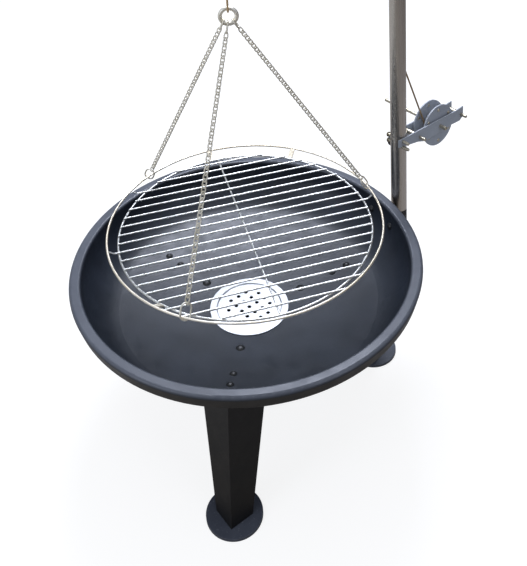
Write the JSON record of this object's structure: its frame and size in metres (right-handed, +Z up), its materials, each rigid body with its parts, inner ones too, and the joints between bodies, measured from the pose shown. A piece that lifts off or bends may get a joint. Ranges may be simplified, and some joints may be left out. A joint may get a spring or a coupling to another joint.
{
  "type": "tripod charcoal grill",
  "caption": "Charcoal grill with a dished bowl on three splayed legs and a grate hung on chains from a turning gallows with a rope winch.",
  "frame": {"origin": "on the ground, under the middle of the whole grill's box", "axes": "+Z up, -Y towards the front leg, +X to the right; the post stands behind and to the right"},
  "size_m": [0.8052, 0.7466, 1.2745],
  "materials": {
    "bowl_paint": "satin black heat-proof paint",
    "leg_paint": "satin black heat-proof paint",
    "foot_paint": "satin grey",
    "screw_zinc": "zinc-plated",
    "ash_steel": "bright stainless",
    "post_steel": "polished steel tube",
    "fork_steel": "plain steel",
    "winch_paint": "dark blue-grey",
    "winch_rods": "bright zinc",
    "knob_black": "matt black",
    "rope_steel": "stranded wire rope",
    "chain_zinc": "zinc-plated",
    "grate_steel": "bright stainless wire"
  },
  "bodies": {
    "stand": {"bowl": "bowl_paint", "leg_front": "leg_paint", "leg_right": "leg_paint", "leg_left": "leg_paint", "foot_front": "foot_paint", "foot_right": "foot_paint", "foot_left": "foot_paint", "leg_screws_front": "screw_zinc", "leg_screws_right": "screw_zinc", "leg_screws_left": "screw_zinc", "post_bracket": "leg_paint", "bracket_screws": "screw_zinc", "post_socket": "leg_paint", "post_spigot": "fork_steel"},
    "ash_pan": {"ash_pan": "leg_paint"},
    "ash_tray": {"ash_plate": "ash_steel"},
    "gallows": {"gallows_tube": "post_steel", "tip_fork": "fork_steel", "tip_pin": "fork_steel", "winch_plate_front": "winch_paint", "winch_plate_rear": "winch_paint", "winch_tie_rods": "winch_rods", "winch_spacers": "winch_rods", "cable_winding": "rope_steel", "cable_run": "rope_steel"},
    "tip_pulley": {"tip_wheel": "fork_steel"},
    "drum": {"drum_core": "winch_paint", "drum_disc_front": "winch_paint", "drum_disc_rear": "winch_paint", "drum_rivets": "winch_rods", "winch_axle": "winch_rods", "crank_arm": "winch_paint", "knob_pin": "winch_rods"},
    "knob": {"crank_knob": "knob_black"},
    "rope": {"cable_drop": "rope_steel"},
    "lifter": {"cable_loop": "rope_steel", "cable_ferrule": "rope_steel"},
    "grate": {"hang_ring": "chain_zinc", "top_links": "chain_zinc", "chain_left": "chain_zinc", "chain_front": "chain_zinc", "chain_right": "chain_zinc", "chain_eyes": "chain_zinc", "grate_lower_ring": "grate_steel", "grate_upper_ring": "grate_steel", "grate_bars": "grate_steel", "grate_bent_bars": "grate_steel", "grate_cross_wire": "grate_steel", "grate_uprights": "grate_steel"}
  },
  "joints": [
    {"name": "ash_plate_lift", "type": "slide", "parent": "stand", "child": "ash_tray", "axis": [0, 0, 1], "range_m": [0, 0.05]},
    {"name": "ash_pan_pull", "type": "slide", "parent": "stand", "child": "ash_pan", "axis": [0, 0, 1], "range_m": [-0.06, 0]},
    {"name": "gallows_turn", "type": "hinge", "parent": "stand", "child": "gallows", "pos_m": [0.25216, 0.19407, 0.3577], "axis": [0, 0, 1], "continuous": true},
    {"name": "tip_wheel_spin", "type": "hinge", "parent": "gallows", "child": "tip_pulley", "pos_m": [-0.03374, -0.01192, 1.2272], "axis": [0.5846, -0.8113, 0], "range_deg": [-715, 125]},
    {"name": "drum_spin", "type": "hinge", "parent": "gallows", "child": "drum", "pos_m": [0.32743, 0.27564, 0.4907], "axis": [0.7349, -0.6782, 0], "range_deg": [-130, 750]},
    {"name": "knob_spin", "type": "hinge", "parent": "drum", "child": "knob", "pos_m": [0.24336, 0.35323, 0.3957], "axis": [0.7349, -0.6782, 0], "continuous": true},
    {"name": "grate_turn", "type": "hinge", "parent": "gallows", "child": "rope", "pos_m": [-0.04834, -0.02245, 0.9423], "axis": [0, 0, 1], "range_deg": [-180, 180]},
    {"name": "grate_lift", "type": "slide", "parent": "rope", "child": "lifter", "axis": [0, 0, 1], "range_m": [-0.035, 0.22], "deforming": ["cable_drop"]},
    {"name": "grate_swing", "type": "hinge", "parent": "lifter", "child": "grate", "pos_m": [-0.04834, -0.02245, 0.8983], "axis": [0.9789, 0.2045, 0], "range_deg": [-5, 5]}
  ],
  "couplings": [
    {"joint": "tip_wheel_spin", "follows": "grate_lift", "rad_per_m": -55.556},
    {"joint": "drum_spin", "follows": "grate_lift", "rad_per_m": 58.48}
  ]
}
